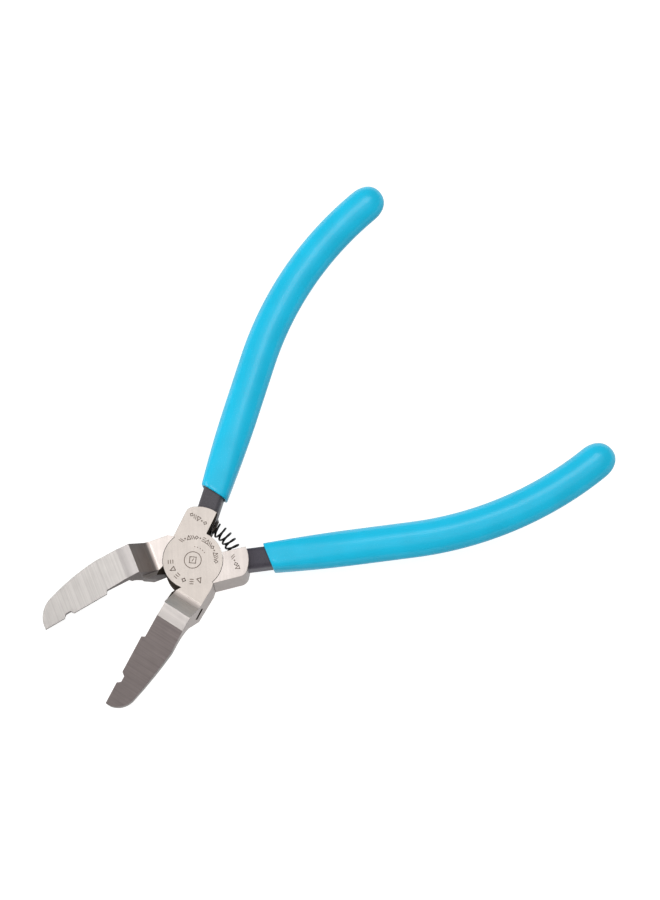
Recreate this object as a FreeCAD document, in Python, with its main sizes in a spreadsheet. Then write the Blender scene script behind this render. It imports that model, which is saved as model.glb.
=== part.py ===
"""Offset-jaw nippers: a sprung lap joint with two cranked, notched blades and two sleeved handles.

Row frame, millimetres: the origin is on the pivot axis at the joint's back face, +Z is the side of the
upper disc, +X points between the open jaws, and the upper half's jaw is on +Y.

Each half is drawn closed, in a half frame: x runs along the closed tool towards the jaws, y = 0 is the
line where the cutting edges meet, and the half's own jaw is on +y (side +1, the upper half) or on -y
(side -1, the lower half). A handle is drawn in a handle frame: x along the shank, away from the joint.
"""
import FreeCAD, Part
import math
import os

import Sketcher

V = FreeCAD.Vector
Z_AXIS = V(0, 0, 1)
FAR = 30.0  # reach of a cutting outline past the part

# alias, number, meaning: lengths in mm, angles in degrees
DIMENSIONS = [
    ("half_opening", 17.5, "each half from the closed line, open against the stops"),
    ("joint_thickness", 11.5, "blocks, necks and the two discs together"),
    ("lap_gap", 0.06, "gap between the two discs' faces"),
    ("disc_radius", 8.9, "lap disc"),
    ("disc_gap", 0.1, "radial gap round a disc"),
    ("stop_x", 3.1, "block's corner at the stop, behind the pivot"),
    ("stop_y", 8.9, "block's corner at the stop, out from the closed line"),
    ("neck_stop_x", 2.62, "neck's corner at the stop, in front of the pivot"),
    ("neck_stop_y", 9.05, "neck's corner at the stop, out from the closed line"),
    ("block_side_x", 11.2, "where the block's outer wall turns into its round corner"),
    ("block_side_y", 10.0, "block's outer wall"),
    ("block_corner_x", 14.0, "end of the round corner"),
    ("block_corner_y", 8.6, "end of the round corner"),
    ("block_corner_radius", 2.9, "round outer corner of the block"),
    ("block_end_radius", 10.0, "convex end of the block"),
    ("block_end_x", 16.0, "inner corner of the block's end"),
    ("block_end_y", 2.1, "inner corner of the block's end"),
    ("block_inner_x", 6.0, "a point of the block's inner face, under the disc"),
    ("block_inner_y", 0.63, "the same point, out from the closed line"),
    ("neck_side_x", 4.2, "neck's outer wall begins"),
    ("upper_neck_side_y", 9.5, "upper neck's outer wall begins; the two halves are ground by hand and differ"),
    ("upper_neck_y", 10.1, "width of the upper neck at the crest"),
    ("upper_back_x", 26.5, "end of the upper blade's straight back"),
    ("upper_back_y", 10.2, "width of the upper blade there"),
    ("upper_back_radius", 150.0, "long curve of the upper blade's back"),
    ("upper_shoulder_y", 6.97, "height of the end of that curve"),
    ("lower_neck_side_y", 9.95, "lower neck's outer wall begins"),
    ("lower_neck_y", 10.4, "width of the lower neck at the crest"),
    ("lower_back_x", 27.0, "end of the lower blade's straight back"),
    ("lower_back_y", 10.85, "width of the lower blade there"),
    ("lower_back_radius", 63.0, "long curve of the lower blade's back"),
    ("lower_shoulder_y", 7.9, "height of the end of that curve"),
    ("shoulder_x", 43.0, "where the long curve of the back meets the round nose"),
    ("nose_radius", 6.75, "round nose"),
    ("nose_y", 0.45, "foot of the round nose"),
    ("blade_length", 48.1, "pivot axis to blade tip"),
    ("edge_gap", 0.03, "each cutting edge stops this short of the closed line"),
    ("neck_inner_x", 8.5, "neck's inner wall at the disc"),
    ("crank_x", 11.0, "foot of the ramp"),
    ("foot_reach", 1.3, "the foot's round corner starts this far before it"),
    ("foot_radius", 3.0, "round corner at the foot of the ramp"),
    ("lip_y", 0.05, "face of the lip beside the ramp, out from the closed line"),
    ("lip_end_x", 14.6, "jaw end of the lip's face"),
    ("lip_root_y", 0.95, "ramp's inner edge behind the lip"),
    ("lip_chamfer", 0.8, "how far the chamfer on the lip falls to the closed line"),
    ("lip_foot_y", 0.95, "width of the chamfers along the lip's lower edges"),
    ("lip_foot_height", 3.5, "height of those chamfers"),
    ("facet_x", 8.2, "start of the steep facet where the lip comes out of the joint"),
    ("facet_y", 2.0, "facet's upper edge there"),
    ("facet_angle", 26.6, "upper edge's direction, towards the closed line"),
    ("facet_length", 4.7, "facet along its upper edge"),
    ("facet_depth", 6.0, "facet"),
    ("facet_lean", 2.0, "how far the facet leans in over its depth"),
    ("crest_x", 16.0, "crest of the ramp"),
    ("crest_y", 1.25, "inner wall at the crest"),
    ("crest_rise", 5.35, "crest above the joint's top face"),
    ("band_x", 20.1, "end of the polished band, start of the ground blade"),
    ("band_rise", 3.7, "that line above the top face"),
    ("tip_drop", 12.65, "blade's tip below the top face"),
    ("step_x", 26.8, "foot of the step where the cutting edge begins"),
    ("step_y", 1.08, "depth of the step"),
    ("step_run", 0.5, "length of the step"),
    ("notch_back_x", 38.3, "notch in the cutting edge, joint side"),
    ("notch_front_x", 41.6, "notch in the cutting edge, tip side"),
    ("notch_flank", 0.8, "run of each flank of the notch"),
    ("notch_depth", 1.15, "notch"),
    ("heel_x", 12.8, "where the underside leaves the back face"),
    ("heel_top_x", 17.2, "top of the underside's steep rise"),
    ("heel_top_drop", 3.0, "that point below the top face"),
    ("web_x", 23.5, "end of the underside's curve into the blade"),
    ("web_drop", 1.5, "that point below the top face"),
    ("web_radius", 4.8, "underside's curve into the blade"),
    ("tip_thickness", 1.9, "blade at the tip, measured upright"),
    ("bevel_start", 0.9, "underside bevel starts this far past the polished band, along the blade"),
    ("bevel_taper", 7.0, "length over which the inner edge thins down to the cutting edge"),
    ("bevel_width", 3.0, "underside bevel, from the cutting edge"),
    ("bevel_neck", 2.0, "thickness of the inner edge where the bevel starts"),
    ("bevel_edge", 0.45, "blade's thickness at the cutting edge"),
    ("bevel_rise", 2.05, "how much thicker the blade is where the bevel ends"),
    ("slot_length", 3.7, "slot in the neck's outer wall"),
    ("slot_height", 2.5, "slot in the neck's outer wall"),
    ("slot_depth", 1.5, "slot in the neck's outer wall"),
    ("slot_x", 9.7, "joint end of the slot"),
    ("slot_drop", 2.9, "joint end of the slot below the top face"),
    ("slot_tilt", 20.0, "the slot runs down towards the jaws"),
    ("pin_radius", 3.0, "pivot rivet"),
    ("pin_clearance", 0.05, "radial play of the rivet in the lower disc"),
    ("pin_cover", 1.2, "metal over the rivet's blind bore"),
    ("head_radius", 4.4, "rivet's countersunk head, flush with the back face"),
    ("head_height", 1.4, "cone of the head"),
    ("spring_orbit", 12.6, "spring's centre line from the pivot axis"),
    ("coil_radius", 1.9, "coil of the spring, to the middle of the wire"),
    ("wire_radius", 0.32, "spring wire"),
    ("coil_turns", 8.0, "turns of the spring"),
    ("coil_start", -0.25, "where round the coil the wire starts, in turns from its outermost point"),
    ("seat_radius", 2.5, "blind seat for the spring's end"),
    ("seat_depth", 2.6, "seat"),
    ("seat_angle", 7.4, "block's inner face at the seat, from the closed line"),
    ("shank_angle", 15.6, "shank's direction away from the closed line"),
    ("shank_x", 12.0, "root of the shank's centre line, behind the pivot"),
    ("shank_y", 4.28, "root of the shank's centre line, out from the closed line"),
    ("shank_z", 6.3, "root of the shank's centre line above the back face"),
    ("shank_tilt", 3.2, "the handles rise away from the joint"),
    ("tang_width", 6.5, "steel tang"),
    ("tang_thickness", 7.0, "steel tang"),
    ("tang_corner", 1.6, "round corner of the tang"),
    ("handle_run", 52.95, "straight stretch of the handle"),
    ("handle_radius", 106.0, "inward curve of the handle"),
    ("tang_sweep", 29.3, "how far round that curve the tang goes"),
    ("grip_sweep", 32.0, "how far round that curve the sleeve goes, to the root of its round end"),
    ("grip_half_width", 5.4, "sleeve"),
    ("grip_half_thickness", 5.1, "sleeve"),
    ("mouth_half_width", 4.4, "sleeve at its mouth"),
    ("mouth_half_thickness", 4.35, "sleeve at its mouth"),
    ("grip_start", 6.0, "sleeve's section starts this far along the shank, before its rim is cut"),
    ("grip_flare", 30.0, "length over which the sleeve grows to its full section"),
    ("rim_run", 9.66, "sleeve's rim along the shank's centre line; it is square to the closed line"),
    ("grip_gap", 0.05, "room between tang and sleeve"),
    ("cap_length", 7.0, "sleeve's round end"),
]


def make_sheet(doc):
    sheet = doc.addObject("Spreadsheet::Sheet", "Dims")
    for row, (alias, number, meaning) in enumerate(DIMENSIONS, start=1):
        sheet.set(f"A{row}", meaning)
        sheet.set(f"B{row}", str(number))
        sheet.setAlias(f"B{row}", alias)
    doc.recompute()
    return sheet


def number(sheet, text):
    """What an expression in the sheet's aliases comes to."""
    return float(sheet.evalExpression(text))


# ---- sketches ----------------------------------------------------------------------------------------


def new_sketch(body, name, role, offset=None):
    """A sketch on one of the body's own origin planes, moved from it by offset."""
    sketch = body.newObject("Sketcher::SketchObject", name)
    plane = next(f for f in body.Origin.OriginFeatures if f.Role == role)
    sketch.AttachmentSupport = [(plane, "")]
    sketch.MapMode = "FlatFace"
    if offset is not None:
        sketch.AttachmentOffset = offset
    return sketch


def bind(sketch, kind, arguments, text):
    index = sketch.addConstraint(Sketcher.Constraint(kind, *arguments))
    sketch.setExpression(f"Constraints[{index}]", text)


def arc_between(start, end, radius, turn):
    """The shorter arc from start to end: turn +1 runs counter-clockwise, -1 clockwise."""
    chord = end.sub(start)
    side = V(-chord.y, chord.x, 0).normalize().multiply(turn)
    reach = math.sqrt(radius**2 - (chord.Length / 2) ** 2)
    centre = start.add(end).multiply(0.5).add(side.multiply(reach))
    first, last = (start, end) if turn > 0 else (end, start)
    angles = [math.atan2(p.y - centre.y, p.x - centre.x) for p in (first, last)]
    return Part.ArcOfCircle(Part.Circle(centre, Z_AXIS, radius), *angles)


def draw(sketch, sheet, corners, closed=True):
    """Draws an outline bound to the sheet. A corner is (x, y) before a straight side, or
    (x, y, radius, turn) before an arc; x, y and radius are expressions."""
    points = [V(number(sheet, c[0]), number(sheet, c[1]), 0) for c in corners]
    sides = len(corners) if closed else len(corners) - 1
    heads, tails = [], []
    for i in range(sides):
        start, end = points[i], points[(i + 1) % len(points)]
        turn = corners[i][3] if len(corners[i]) > 2 else 1
        if len(corners[i]) > 2:
            radius = number(sheet, corners[i][2])
            index = sketch.addGeometry(arc_between(start, end, radius, turn), False)
            bind(sketch, "Radius", (index, radius), corners[i][2])
        else:
            index = sketch.addGeometry(Part.LineSegment(start, end), False)
        heads.append((index, 1 if turn > 0 else 2))
        tails.append((index, 2 if turn > 0 else 1))
    for i in range(sides if closed else sides - 1):
        sketch.addConstraint(Sketcher.Constraint("Coincident", *tails[i], *heads[(i + 1) % sides]))
    for i, corner in enumerate(corners):
        place = heads[i] if i < sides else tails[-1]
        bind(sketch, "DistanceX", (-1, 1, *place, points[i].x), corner[0])
        bind(sketch, "DistanceY", (-1, 1, *place, points[i].y), corner[1])


def draw_ellipse(sketch, sheet, wide, high):
    """An ellipse about the sketch's origin; wide and high are expressions for its half axes."""
    half_x, half_y = number(sheet, wide), number(sheet, high)
    index = sketch.addGeometry(Part.Ellipse(V(half_x, 0, 0), V(0, half_y, 0), V(0, 0, 0)), False)
    sketch.exposeInternalGeometry(index)
    sketch.addConstraint(Sketcher.Constraint("Coincident", index, 3, -1, 1))
    sketch.addConstraint(Sketcher.Constraint("PointOnObject", index + 1, 1, -1))
    bind(sketch, "Distance", (index + 1, 2 * half_x), f"2 * {wide}")
    bind(sketch, "Distance", (index + 2, 2 * half_y), f"2 * {high}")


def draw_round_rectangle(sketch, sheet, wide, high, corner):
    """A rounded rectangle about the sketch's origin; the arguments are expressions for its full sides."""
    right, top = f"0.5 * ({wide})", f"0.5 * ({high})"
    inner_x, inner_y = f"({right} - {corner})", f"({top} - {corner})"
    corners = [
        (f"-{inner_x}", f"-{top}"),
        (inner_x, f"-{top}", corner, 1),
        (right, f"-{inner_y}"),
        (right, inner_y, corner, 1),
        (inner_x, top),
        (f"-{inner_x}", top, corner, 1),
        (f"-{right}", inner_y),
        (f"-{right}", f"-{inner_y}", corner, 1),
    ]
    draw(sketch, sheet, corners)


# ---- features ----------------------------------------------------------------------------------------


def cut_through(body, sketch, name):
    """Cuts the sketch's area right through, both ways, and makes sure that something went."""
    doc = body.Document
    doc.recompute()
    before = body.Shape.Volume
    cut = body.newObject("PartDesign::Pocket", name)
    cut.Profile = sketch
    cut.Type = "ThroughAll"
    cut.Midplane = True
    doc.recompute()
    if body.Shape.Volume > before - 1e-3:
        raise RuntimeError(f"{name} cuts nothing")


def sweep(body, kind, name, profile, path):
    feature = body.newObject(f"PartDesign::{kind}Pipe", name)
    feature.Profile = profile
    feature.Spine = (path, [f"Edge{i + 1}" for i in range(path.GeometryCount)])
    return feature


def cylinder(doc, name, radius, bottom, top):
    """A cylinder on the pivot axis; its sizes are expressions."""
    tool = doc.addObject("Part::Cylinder", name)
    tool.setExpression("Radius", radius)
    tool.setExpression("Height", f"{top} - ({bottom})")
    tool.setExpression(".Placement.Base.z", bottom)
    return tool


def fused(doc, name, shapes):
    result = doc.addObject("Part::MultiFuse", name)
    result.Shapes = shapes
    return result


def cut_by(doc, name, base, tool):
    result = doc.addObject("Part::Cut", name)
    result.Base = base
    result.Tool = tool
    return result


# ---- the two halves ----------------------------------------------------------------------------------


def half_of(side):
    return "upper" if side > 0 else "lower"


def head_plan(side):
    """Corners of one half's block, neck and blade, seen from above."""
    half = half_of(side)

    def jaw(text):
        return f"{side} * {text}"

    def handle(text):
        return f"{-side} * {text}"

    return [
        ("0.5 * Dims.neck_stop_x", jaw("0.5 * Dims.neck_stop_y")),
        ("-0.5 * Dims.block_inner_x", jaw("0")),
        ("-Dims.block_inner_x", handle("Dims.block_inner_y")),
        ("-Dims.block_end_x", handle("Dims.block_end_y"), "Dims.block_end_radius", side),
        ("-Dims.block_corner_x", handle("Dims.block_corner_y"), "Dims.block_corner_radius", side),
        ("-Dims.block_side_x", handle("Dims.block_side_y")),
        ("-Dims.stop_x", handle("Dims.stop_y")),
        ("-0.5 * Dims.stop_x", handle("0.5 * Dims.stop_y")),
        ("0.5 * Dims.neck_inner_x", jaw("0")),
        ("Dims.neck_inner_x", jaw("Dims.lip_y")),
        ("Dims.lip_end_x", jaw("Dims.lip_y")),
        ("Dims.crest_x", jaw("Dims.crest_y")),
        ("Dims.step_x", jaw("Dims.step_y")),
        ("Dims.step_x + Dims.step_run", jaw("Dims.edge_gap")),
        ("Dims.notch_back_x", jaw("Dims.edge_gap")),
        ("Dims.notch_back_x + Dims.notch_flank", jaw("Dims.notch_depth")),
        ("Dims.notch_front_x - Dims.notch_flank", jaw("Dims.notch_depth")),
        ("Dims.notch_front_x", jaw("Dims.edge_gap")),
        ("Dims.blade_length", jaw("Dims.edge_gap")),
        ("Dims.blade_length", jaw("Dims.nose_y"), "Dims.nose_radius", side),
        ("Dims.shoulder_x", jaw(f"Dims.{half}_shoulder_y"), f"Dims.{half}_back_radius", side),
        (f"Dims.{half}_back_x", jaw(f"Dims.{half}_back_y")),
        ("Dims.crest_x", jaw(f"Dims.{half}_neck_y")),
        ("Dims.neck_side_x", jaw(f"Dims.{half}_neck_side_y")),
        ("Dims.neck_stop_x", jaw("Dims.neck_stop_y")),
    ]


def space_above():
    """Side view of all that lies above the top face, the ramp, the polished band and the blade."""
    top = "Dims.joint_thickness"
    slope = "(Dims.band_rise + Dims.tip_drop) / (Dims.blade_length - Dims.band_x)"
    ramp = "atan2(Dims.crest_rise; Dims.crest_x - Dims.crank_x)"
    return [
        (f"-{FAR}", top),
        ("Dims.crank_x - Dims.foot_reach", top, "Dims.foot_radius", 1),
        (f"Dims.crank_x + Dims.foot_reach * cos({ramp})", f"{top} + Dims.foot_reach * sin({ramp})"),
        ("Dims.crest_x", f"{top} + Dims.crest_rise"),
        ("Dims.band_x", f"{top} + Dims.band_rise"),
        (f"Dims.band_x + {FAR}", f"{top} + Dims.band_rise - {FAR} * {slope}"),
        (f"Dims.band_x + {FAR}", f"{top} + {FAR}"),
        (f"-{FAR}", f"{top} + {FAR}"),
    ]


def space_below():
    """Side view of all that lies below the back face, the heel and the blade's underside."""
    top = "Dims.joint_thickness"
    fall = "(Dims.tip_drop + Dims.tip_thickness - Dims.web_drop) / (Dims.blade_length - Dims.web_x)"
    return [
        (f"-{FAR}", "0"),
        ("Dims.heel_x", "0"),
        ("Dims.heel_top_x", f"{top} - Dims.heel_top_drop", "Dims.web_radius", -1),
        ("Dims.web_x", f"{top} - Dims.web_drop"),
        (f"Dims.web_x + {FAR}", f"{top} - Dims.web_drop - {FAR} * {fall}"),
        (f"Dims.web_x + {FAR}", f"-{FAR}"),
        (f"-{FAR}", f"-{FAR}"),
    ]


def blade_angle(sheet):
    """How steeply the blade falls towards its tip, in radians."""
    slope = "(Dims.band_rise + Dims.tip_drop) / (Dims.blade_length - Dims.band_x)"
    return math.atan(number(sheet, slope))


def falling(angle):
    """Turns a section so that the way it runs falls by an angle in radians."""
    return FreeCAD.Rotation(V(1, 0, 0), math.degrees(angle))


def cut_along(body, sheet, name, begin, turn, corners, length):
    """Cuts away a section, drawn square to the way it runs. Unturned, it runs towards the jaws; begin and
    turn are in its own axes: out from the closed line, up, along."""
    sketch = new_sketch(body, f"{name}_outline", "YZ_Plane", FreeCAD.Placement(begin, turn))
    draw(sketch, sheet, corners)
    body.Document.recompute()
    before = body.Shape.Volume
    cut = body.newObject("PartDesign::Pocket", name)
    cut.Profile = sketch
    cut.Length = length
    cut.Reversed = True
    body.Document.recompute()
    if body.Shape.Volume > before - 1e-3:
        raise RuntimeError(f"{name} cuts nothing")


def under_edge(side, width, rise):
    """Section of all that lies under a slope up to the closed line."""
    return [
        ("0", "0"),
        (f"{side} * {width}", f"-{rise}"),
        (f"{side} * {width}", f"-{FAR}"),
        ("0", f"-{FAR}"),
    ]


def cut_bevels(body, sheet, name, side):
    """The long bevel under the blade: a tapering stretch beside the neck, then an even one to the tip."""
    start, taper = number(sheet, "Dims.bevel_start"), number(sheet, "Dims.bevel_taper")
    neck, edge = number(sheet, "Dims.bevel_neck"), number(sheet, "Dims.bevel_edge")
    band_x, band_z = number(sheet, "Dims.band_x"), number(sheet, "Dims.joint_thickness + Dims.band_rise")
    fall = blade_angle(sheet)
    lift = math.atan((neck - edge) / taper)
    corners = under_edge(side, "Dims.bevel_width", "Dims.bevel_rise")
    for part, along, thick, angle, length in (
        ("taper", start, neck, fall - lift, taper / math.cos(lift)),
        ("bevel", start + taper, edge, fall, 2 * FAR),
    ):
        up = band_z - along * math.sin(fall) - thick * math.cos(fall)
        ahead = band_x + along * math.cos(fall) - thick * math.sin(fall)
        cut_along(body, sheet, f"{name}_{part}", V(0, up, ahead), falling(angle), corners, length)


def cut_lip(body, sheet, name, side):
    """Leaves the lip low beside the ramp and chamfers its edges."""
    top = number(sheet, "Dims.joint_thickness")
    start, end = number(sheet, "Dims.facet_x"), number(sheet, "Dims.crest_x")
    root = f"{side} * Dims.lip_root_y"
    above = [("0", "-Dims.lip_chamfer"), (root, "0"), (root, f"{FAR}"), ("0", f"{FAR}")]
    cut_along(body, sheet, f"{name}_top", V(0, top, start), falling(0), above, end - start)
    turn = FreeCAD.Rotation(V(0, 1, 0), -side * number(sheet, "Dims.facet_angle"))
    begin = V(side * number(sheet, "Dims.facet_y"), top, start)
    facet = [
        ("0", "0"),
        ("0", "Dims.facet_depth"),
        (f"{-side} * Dims.facet_depth", "Dims.facet_depth"),
        (f"{-side} * Dims.facet_depth", "-Dims.facet_depth"),
        (f"{-side} * Dims.facet_lean", "-Dims.facet_depth"),
    ]
    cut_along(body, sheet, f"{name}_facet", begin, turn, facet, number(sheet, "Dims.facet_length"))
    high, heel_x = number(sheet, "Dims.lip_foot_height"), number(sheet, "Dims.heel_x")
    run, rise = number(sheet, "Dims.heel_top_x") - heel_x, top - number(sheet, "Dims.heel_top_drop")
    slope = math.atan2(rise, run)
    below = under_edge(side, "Dims.lip_foot_y", "Dims.lip_foot_height")
    cut_along(body, sheet, f"{name}_foot", V(0, high, start), falling(0), below, heel_x - start)
    begin = V(0, high * math.cos(slope), heel_x - high * math.sin(slope))
    cut_along(body, sheet, f"{name}_heel", begin, falling(-slope), below, math.hypot(run, rise))


def make_head(doc, sheet, name, side):
    """Block, neck and blade in one: the plan raised as a slab, then cut to the side view."""
    body = doc.addObject("PartDesign::Body", f"{name}_head")
    plan = new_sketch(body, f"{name}_plan", "XY_Plane")
    draw(plan, sheet, head_plan(side))
    slab = body.newObject("PartDesign::Pad", f"{name}_slab")
    slab.Profile = plan
    slab.Midplane = True
    slab.Length = 2 * FAR
    for part, corners in (("above", space_above()), ("below", space_below())):
        view = new_sketch(body, f"{name}_{part}", "XZ_Plane")
        draw(view, sheet, corners)
        cut_through(body, view, f"{name}_{part}_cut")
    cut_lip(body, sheet, f"{name}_lip", side)
    cut_bevels(body, sheet, name, side)
    return body


def handle_path(sheet, sketch, start, sweep_angle, side):
    """The handle's centre line: a straight run, then the inward curve."""
    end_x = f"Dims.handle_run + Dims.handle_radius * sin(({sweep_angle}) * 1deg)"
    end_y = f"{-side} * Dims.handle_radius * (1 - cos(({sweep_angle}) * 1deg))"
    corners = [(start, "0"), ("Dims.handle_run", "0", "Dims.handle_radius", -side), (end_x, end_y)]
    draw(sketch, sheet, corners, closed=False)


def handle_placement(sheet, side):
    """Where the handle frame stands in the half frame."""
    root = V(
        -number(sheet, "Dims.shank_x"),
        -side * number(sheet, "Dims.shank_y"),
        number(sheet, "Dims.shank_z"),
    )
    turned = FreeCAD.Rotation(Z_AXIS, 180 + side * number(sheet, "Dims.shank_angle"))
    raised = FreeCAD.Rotation(V(0, 1, 0), -number(sheet, "Dims.shank_tilt"))
    return FreeCAD.Placement(root, turned.multiply(raised))


def make_tang(doc, sheet, name, side):
    """The steel under the sleeve: a rounded bar along the handle's centre line."""
    body = doc.addObject("PartDesign::Body", f"{name}_tang")
    path = new_sketch(body, f"{name}_tang_path", "XY_Plane")
    handle_path(sheet, path, "0", "Dims.tang_sweep", side)
    section = new_sketch(body, f"{name}_tang_section", "YZ_Plane")
    draw_round_rectangle(section, sheet, "Dims.tang_width", "Dims.tang_thickness", "Dims.tang_corner")
    sweep(body, "Additive", f"{name}_tang_bar", section, path)
    body.Placement = handle_placement(sheet, side)
    return body


def make_seat(doc, sheet, name, side):
    """Tool for the blind seat that holds the spring's end, sunk in the block's inner face."""
    seat = doc.addObject("Part::Cylinder", f"{name}_seat")
    seat.setExpression("Radius", "Dims.seat_radius")
    seat.setExpression("Height", "2 * Dims.seat_depth")
    angle = number(sheet, "Dims.seat_angle")
    orbit = number(sheet, "Dims.spring_orbit")
    turned = FreeCAD.Rotation(Z_AXIS, side * angle)
    mouth = turned.multVec(V(-orbit, 0, 0)).add(V(0, 0, number(sheet, "0.5 * Dims.joint_thickness")))
    inward = turned.multVec(V(0, -side, 0))
    start = mouth.sub(inward.multiply(number(sheet, "Dims.seat_depth")))
    seat.Placement = FreeCAD.Placement(start, FreeCAD.Rotation(Z_AXIS, turned.multVec(V(0, -side, 0))))
    return seat


def make_slot(doc, sheet, name, side):
    """Tool for the short slot in the neck's outer wall."""
    slot = doc.addObject("Part::Box", f"{name}_slot")
    slot.setExpression("Length", "Dims.slot_length")
    slot.setExpression("Height", "Dims.slot_height")
    slot.setExpression("Width", "2 * Dims.slot_depth")
    middle = side * number(sheet, f"Dims.{half_of(side)}_neck_y") - number(sheet, "Dims.slot_depth")
    corner = V(
        number(sheet, "Dims.slot_x"),
        middle,
        number(sheet, "Dims.joint_thickness - Dims.slot_drop - Dims.slot_height"),
    )
    tilt = FreeCAD.Rotation(V(0, 1, 0), number(sheet, "Dims.slot_tilt"))
    slot.Placement = FreeCAD.Placement(corner, tilt)
    return slot


def make_countersink(doc, name):
    """Tool for the rivet head's seat, open at the back face."""
    cone = doc.addObject("Part::Cone", name)
    cone.setExpression("Radius1", "Dims.head_radius + 1.5 * Dims.pin_clearance")
    cone.setExpression("Radius2", "Dims.pin_radius + 1.5 * Dims.pin_clearance")
    cone.setExpression("Height", "Dims.head_height")
    return cone


def make_half(doc, sheet, name, side):
    """One forging: its head is cleared for the other half's disc, then takes its own disc and tang."""
    top, middle = "Dims.joint_thickness", "0.5 * Dims.joint_thickness"
    lap = "0.5 * Dims.lap_gap"
    if side > 0:
        disc_span, recess_span = (f"{middle} + {lap}", top), ("-1", f"{middle} + {lap}")
        bore = cylinder(doc, f"{name}_bore", "Dims.pin_radius", "0", f"{top} - Dims.pin_cover")
        openings = [bore]
    else:
        disc_span, recess_span = ("0", f"{middle} - {lap}"), (f"{middle} - {lap}", f"{top} + 1")
        bore = cylinder(doc, f"{name}_bore", "Dims.pin_radius + Dims.pin_clearance", "-1", f"{top} + 1")
        openings = [bore, make_countersink(doc, f"{name}_countersink")]
    head = make_head(doc, sheet, name, side)
    recess = cylinder(doc, f"{name}_recess", "Dims.disc_radius + Dims.disc_gap", *recess_span)
    disc = cylinder(doc, f"{name}_disc", "Dims.disc_radius", *disc_span)
    tang = make_tang(doc, sheet, name, side)
    cleared = cut_by(doc, f"{name}_cleared", head, recess)
    whole = fused(doc, f"{name}_whole", [cleared, disc, tang])
    openings += [make_seat(doc, sheet, name, side), make_slot(doc, sheet, name, side)]
    half = cut_by(doc, name, whole, fused(doc, f"{name}_openings", openings))
    half.Label = name
    half.Placement = half_placement(sheet, side)
    return half


def half_placement(sheet, side):
    opening = number(sheet, "Dims.half_opening")
    return FreeCAD.Placement(V(0, 0, 0), FreeCAD.Rotation(Z_AXIS, side * opening))


# ---- rivet, sleeves and spring -----------------------------------------------------------------------


def make_rivet(doc, sheet, name):
    """Turned pin with a flush countersunk head at the back, pressed into the upper disc's blind bore."""
    body = doc.addObject("PartDesign::Body", name)
    body.Label = name
    profile = new_sketch(body, f"{name}_profile", "XZ_Plane")
    end = "Dims.joint_thickness - Dims.pin_cover"
    corners = [
        ("0", "0"),
        ("Dims.head_radius", "0"),
        ("Dims.pin_radius", "Dims.head_height"),
        ("Dims.pin_radius", end),
        ("0", end),
    ]
    draw(profile, sheet, corners)
    turned = body.newObject("PartDesign::Revolution", f"{name}_turned")
    turned.Profile = profile
    turned.ReferenceAxis = (profile, ["V_Axis"])
    return body


def loft_along(body, name, sections):
    loft = body.newObject("PartDesign::AdditiveLoft", name)
    loft.Profile = sections[0]
    loft.Sections = sections[1:]


def add_mouth(body, sheet, name):
    """The sleeve's narrower start: ellipses that grow as a quarter of a sine does."""
    sections = []
    for step in range(6):
        share = step / 5
        run = f"Dims.grip_start + {share} * Dims.grip_flare"
        place = FreeCAD.Placement(V(0, 0, number(sheet, run)), FreeCAD.Rotation())
        sketch = new_sketch(body, f"{name}_mouth_{step}", "YZ_Plane", place)
        grow = math.sin(share * math.pi / 2)
        half = [
            f"(Dims.mouth_{way} + {grow} * (Dims.grip_{way} - Dims.mouth_{way}))"
            for way in ("half_width", "half_thickness")
        ]
        draw_ellipse(sketch, sheet, *half)
        sections.append(sketch)
    loft_along(body, f"{name}_mouth", sections)


def add_round_end(body, sheet, name, side):
    """The sleeve's closed end: ellipses that shrink as a quarter of an ellipsoid does."""
    sweep_angle = number(sheet, "Dims.grip_sweep")
    radius = number(sheet, "Dims.handle_radius")
    angle = math.radians(sweep_angle)
    root = V(
        number(sheet, "Dims.handle_run") + radius * math.sin(angle),
        -side * radius * (1 - math.cos(angle)),
        0,
    )
    along = V(math.cos(angle), -side * math.sin(angle), 0)
    sections = []
    for step, share in enumerate((0.0, 0.35, 0.65, 0.85, 0.97)):
        here = root.add(V(along).multiply(share * number(sheet, "Dims.cap_length")))
        turned = FreeCAD.Rotation(V(0, 1, 0), -side * sweep_angle)
        place = FreeCAD.Placement(V(here.y, here.z, here.x), turned)
        sketch = new_sketch(body, f"{name}_end_{step}", "YZ_Plane", place)
        shrink = math.sqrt(1 - share**2)
        width, thickness = f"{shrink} * Dims.grip_half_width", f"{shrink} * Dims.grip_half_thickness"
        draw_ellipse(sketch, sheet, width, thickness)
        sections.append(sketch)
    loft_along(body, f"{name}_end", sections)


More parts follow.
